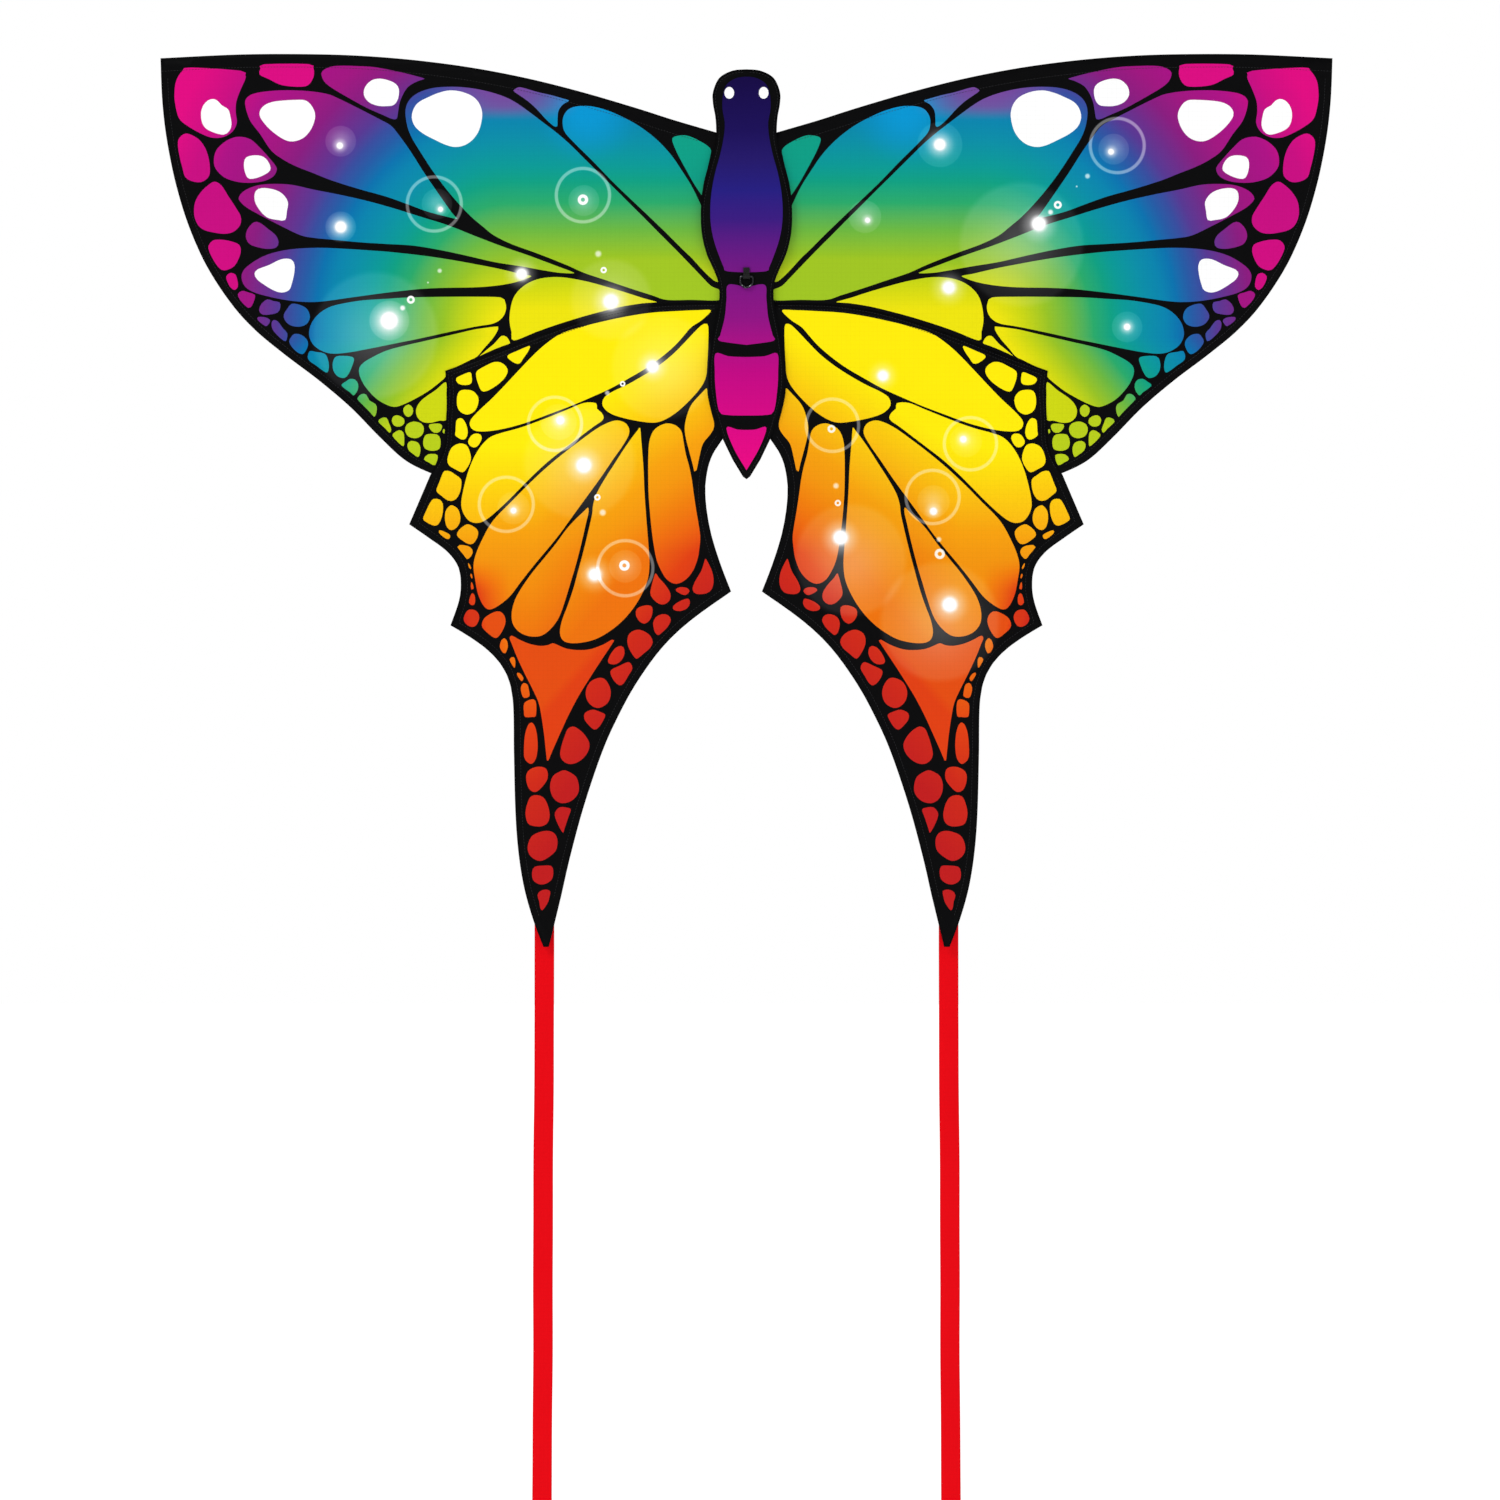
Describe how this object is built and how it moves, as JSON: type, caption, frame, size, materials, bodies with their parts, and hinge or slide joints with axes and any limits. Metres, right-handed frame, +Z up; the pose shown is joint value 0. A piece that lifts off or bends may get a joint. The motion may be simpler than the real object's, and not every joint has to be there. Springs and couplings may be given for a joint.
{
  "type": "butterfly kite",
  "caption": "Single-line butterfly kite: printed cloth sail on a folding X frame of round spars, a tow ring at the waist and two ribbon tails with their spare length rolled up.",
  "frame": {"origin": "middle of the eye of the tow ring, where the flying line clips on, with the kite hanging upright", "axes": "+Z up towards the nose, -Y the printed front, +X along the span towards the right-hand wing seen from the front"},
  "size_m": [1.3014, 0.1056, 1.662],
  "materials": {
    "upper_print": "printed woven polyester, purple at the tips to yellow at the waist",
    "lower_print": "printed woven polyester, yellow to red",
    "body_print": "printed woven polyester, indigo to magenta",
    "black_tape": "matt black tape and webbing",
    "fibreglass": "ground fibreglass rod, satin",
    "vinyl": "soft moulded vinyl",
    "red_ribbon": "thin woven ribbon",
    "ring_metal": "black coated steel wire"
  },
  "bodies": {
    "frame": {"body_panel": "body_print", "body_tip_pocket": "black_tape", "centre_tape": "black_tape", "lower_connector": "vinyl", "lower_connector_stop": "vinyl", "nose_pocket": "black_tape", "spine_cap_bottom": "vinyl", "spine_cap_top": "vinyl", "spine_rod": "fibreglass", "spine_sleeve_lower": "black_tape", "spine_sleeve_middle": "black_tape", "tow_tab": "black_tape", "upper_connector": "vinyl", "upper_connector_stop": "vinyl"},
    "tow_ring": {"tow_ring": "ring_metal"},
    "left_wing": {"left_leading_edge_sleeve": "black_tape", "left_lower_neck": "vinyl", "left_lower_sail": "lower_print", "left_lower_socket": "vinyl", "left_lower_spar": "fibreglass", "left_lower_spar_cap": "vinyl", "left_spar_keeper_1": "black_tape", "left_spar_keeper_2": "black_tape", "left_tail_end": "red_ribbon", "left_tail_inner_hem": "black_tape", "left_tail_outer_hem": "black_tape", "left_tail_tip_patch": "black_tape", "left_upper_neck": "vinyl", "left_upper_sail": "upper_print", "left_upper_socket": "vinyl", "left_upper_spar": "fibreglass", "left_upper_spar_cap": "vinyl", "left_wing_hem": "black_tape", "left_wingtip_patch": "black_tape"},
    "right_wing": {"right_leading_edge_sleeve": "black_tape", "right_lower_neck": "vinyl", "right_lower_sail": "lower_print", "right_lower_socket": "vinyl", "right_lower_spar": "fibreglass", "right_lower_spar_cap": "vinyl", "right_spar_keeper_1": "black_tape", "right_spar_keeper_2": "black_tape", "right_tail_end": "red_ribbon", "right_tail_inner_hem": "black_tape", "right_tail_outer_hem": "black_tape", "right_tail_tip_patch": "black_tape", "right_upper_neck": "vinyl", "right_upper_sail": "upper_print", "right_upper_socket": "vinyl", "right_upper_spar": "fibreglass", "right_upper_spar_cap": "vinyl", "right_wing_hem": "black_tape", "right_wingtip_patch": "black_tape"},
    "left_tail": {"left_roll_tie": "black_tape", "left_tail_ribbon": "red_ribbon", "left_tail_roll": "red_ribbon"},
    "right_tail": {"right_roll_tie": "black_tape", "right_tail_ribbon": "red_ribbon", "right_tail_roll": "red_ribbon"}
  },
  "joints": [
    {"name": "left_wing_fold", "type": "hinge", "parent": "frame", "child": "left_wing", "pos_m": [-0.012, 0.0093, 0], "axis": [0, 0, -1], "range_deg": [-8, 70], "stiffness_Nm_per_rad": 0.1, "deforming": ["left_upper_neck", "left_lower_neck"]},
    {"name": "right_wing_fold", "type": "hinge", "parent": "frame", "child": "right_wing", "pos_m": [0.012, 0.0093, 0], "axis": [0, 0, 1], "range_deg": [-8, 70], "stiffness_Nm_per_rad": 0.1, "deforming": ["right_upper_neck", "right_lower_neck"]},
    {"name": "tow_ring_swing", "type": "hinge", "parent": "frame", "child": "tow_ring", "pos_m": [0, 0, 0.005], "axis": [-1, 0, 0], "range_deg": [-5, 160]},
    {"name": "left_tail_swing", "type": "hinge", "parent": "left_wing", "child": "left_tail", "pos_m": [-0.22378, 0.04431, -0.738], "axis": [-0.9903, 0.1392, 0], "range_deg": [-75, 75]},
    {"name": "right_tail_swing", "type": "hinge", "parent": "right_wing", "child": "right_tail", "pos_m": [0.22378, 0.04431, -0.738], "axis": [-0.9903, -0.1392, 0], "range_deg": [-75, 75]}
  ]
}
